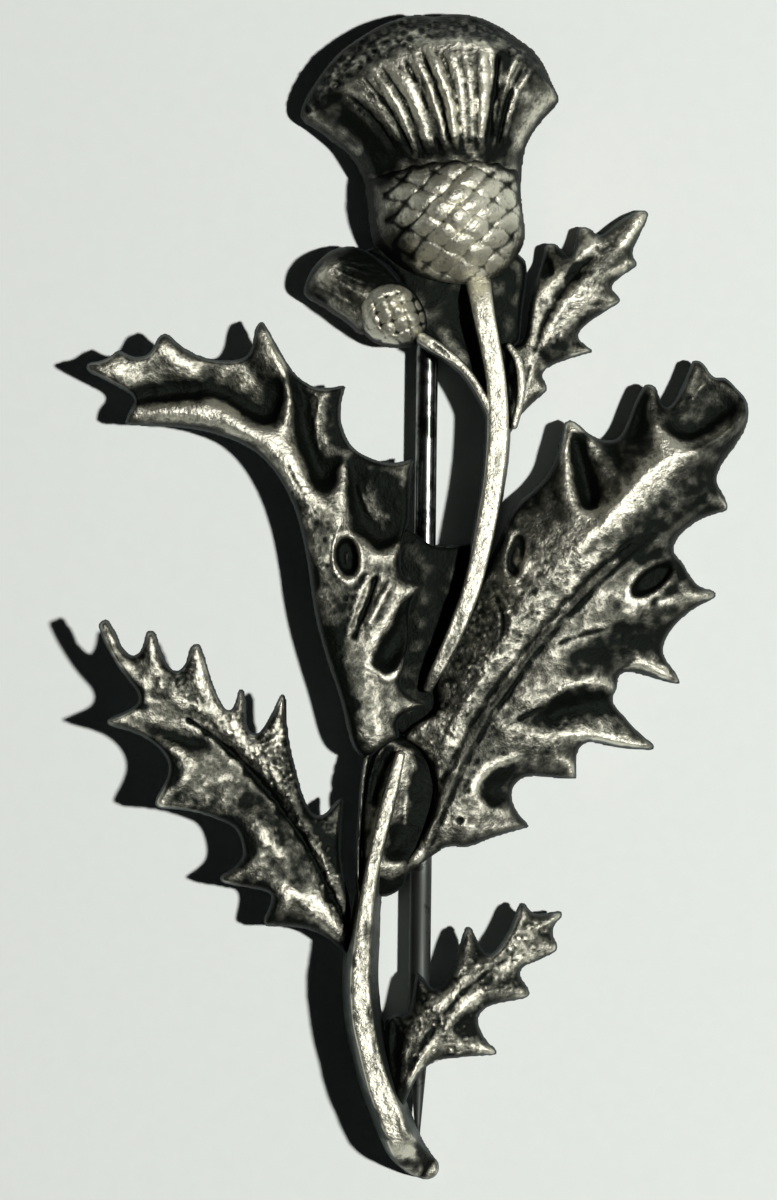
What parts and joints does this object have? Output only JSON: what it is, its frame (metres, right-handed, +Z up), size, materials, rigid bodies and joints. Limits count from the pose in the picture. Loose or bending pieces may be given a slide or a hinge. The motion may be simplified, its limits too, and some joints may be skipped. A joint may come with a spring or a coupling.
{
  "type": "thistle spray brooch",
  "caption": "Cast metal thistle spray brooch with a scaled flower head, a bud, toothed leaves, and a long pin hinged behind it that closes in an open hook.",
  "frame": {"origin": "middle of the brooch's outline, on the surface that it lies on face up", "axes": "+Z up out of the face, +Y along the brooch from the stem's cut end to the flower head, +X to the right seen from the face"},
  "size_m": [0.0404, 0.07, 0.0068],
  "materials": {
    "pewter": "antiqued pewter, near black in the recesses and worn bright on the ridges",
    "fittings": "plain soldered findings, dulled",
    "pin_steel": "drawn and darkened steel wire, bright along its top"
  },
  "bodies": {
    "root": {"casting": "pewter", "hinge": "fittings", "hinge_rivet": "fittings", "catch": "fittings"},
    "pin": {"pin_stem": "pin_steel"}
  },
  "joints": [
    {"name": "pin_hinge", "type": "hinge", "parent": "root", "child": "pin", "pos_m": [0.00062, 0.0222, 0.00115], "axis": [0.9999, -0.0126, 0], "range_deg": [0, 80]}
  ]
}
